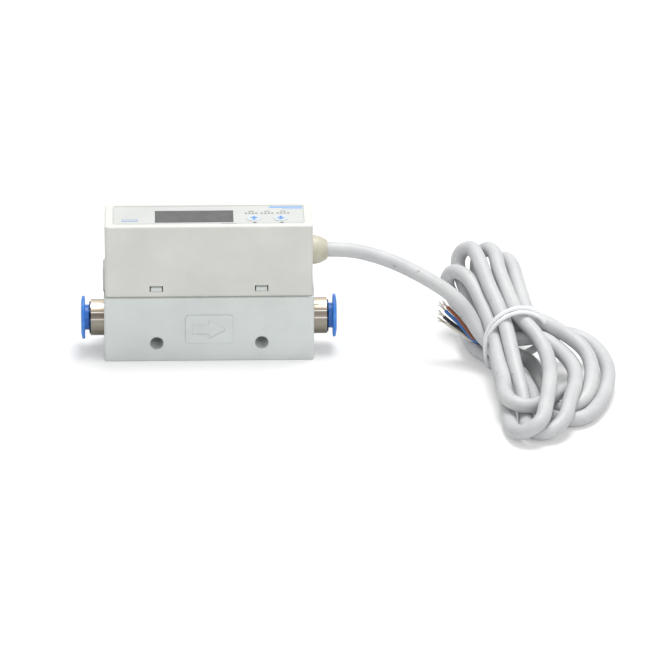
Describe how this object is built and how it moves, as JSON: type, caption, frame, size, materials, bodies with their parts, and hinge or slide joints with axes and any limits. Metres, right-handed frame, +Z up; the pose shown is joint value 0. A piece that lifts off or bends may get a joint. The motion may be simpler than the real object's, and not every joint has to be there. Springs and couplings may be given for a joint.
{
  "type": "in-line air flow sensor",
  "caption": "In-line air flow sensor: moulded block with push-in tube fittings, a clipped-on housing with display and keys, and a cable in a tied hank.",
  "frame": {"origin": "middle of the block's underside", "axes": "+X along the air tube towards the outlet and the cable, +Y to the back, +Z up"},
  "size_m": [0.1769, 0.1042, 0.0489],
  "materials": {
    "block_plastic": "moulded, fine texture",
    "cover_plastic": "moulded, fine texture",
    "foil": "printed film, glossy",
    "pane": "smoked, glossy",
    "nickel": "nickel plated, polished",
    "ring_blue": "moulded",
    "steel": "stamped",
    "seal_rubber": "moulded",
    "gland_plastic": "moulded",
    "cable_jacket": "satin sheath",
    "tie_plastic": "smooth",
    "core_brown": "insulation",
    "core_blue": "insulation",
    "core_black": "insulation",
    "core_white": "insulation",
    "board": "glass-fibre board, green resist",
    "chip_black": "moulded",
    "display_plastic": "moulded",
    "lamp": "clear, diffused",
    "key_plastic": "moulded",
    "capacitor_can": "drawn can"
  },
  "bodies": {
    "sensor": {"board_header": "chip_black", "cable": "cable_jacket", "cable_gland": "gland_plastic", "cable_hank": "cable_jacket", "cable_socket": "key_plastic", "cable_tail": "cable_jacket", "capacitor_1": "capacitor_can", "capacitor_2": "capacitor_can", "core_black": "core_black", "core_blue": "core_blue", "core_brown": "core_brown", "core_white": "core_white", "cover_seal": "seal_rubber", "display_board": "board", "display_board_screw_1": "steel", "display_board_screw_2": "steel", "display_board_screw_3": "steel", "display_board_screw_4": "steel", "display_module": "display_plastic", "display_window": "pane", "flow_block": "block_plastic", "hank_tie": "tie_plastic", "housing_cover": "cover_plastic", "inlet_retainer": "steel", "inlet_screen": "steel", "key_switch_1": "display_plastic", "key_switch_2": "display_plastic", "keypad_foil": "foil", "left_collar": "nickel", "left_collar_ring": "seal_rubber", "left_grab_ring": "steel", "left_tube_seal": "seal_rubber", "main_board": "board", "main_board_screw_1": "steel", "main_board_screw_2": "steel", "middle_screen": "steel", "outlet_retainer": "steel", "outlet_screen": "steel", "processor": "chip_black", "right_collar": "nickel", "right_collar_ring": "seal_rubber", "right_grab_ring": "steel", "right_tube_seal": "seal_rubber", "screen_spacer": "steel", "sensor_board": "board", "sensor_chip": "chip_black", "sensor_header": "chip_black", "sensor_screw_1": "steel", "sensor_screw_2": "steel", "sensor_seal": "seal_rubber", "status_led_1": "lamp", "status_led_2": "lamp", "status_led_3": "lamp", "status_led_4": "lamp"},
    "left_release_ring": {"left_release_ring": "ring_blue"},
    "right_release_ring": {"right_release_ring": "ring_blue"},
    "key_plunger_1": {"key_plunger_1": "key_plastic"},
    "key_plunger_2": {"key_plunger_2": "key_plastic"}
  },
  "joints": [
    {"name": "left_ring_press", "type": "slide", "parent": "sensor", "child": "left_release_ring", "axis": [1, 0, 0], "range_m": [0, 0.0013], "stiffness_N_per_m": 300, "springref_m": -0.0005},
    {"name": "right_ring_press", "type": "slide", "parent": "sensor", "child": "right_release_ring", "axis": [-1, 0, 0], "range_m": [0, 0.0013], "stiffness_N_per_m": 300, "springref_m": -0.0005},
    {"name": "key_1_press", "type": "slide", "parent": "sensor", "child": "key_plunger_1", "axis": [0, 0, -1], "range_m": [0, 0.00025], "stiffness_N_per_m": 800, "springref_m": -0.0003},
    {"name": "key_2_press", "type": "slide", "parent": "sensor", "child": "key_plunger_2", "axis": [0, 0, -1], "range_m": [0, 0.00025], "stiffness_N_per_m": 800, "springref_m": -0.0003}
  ]
}
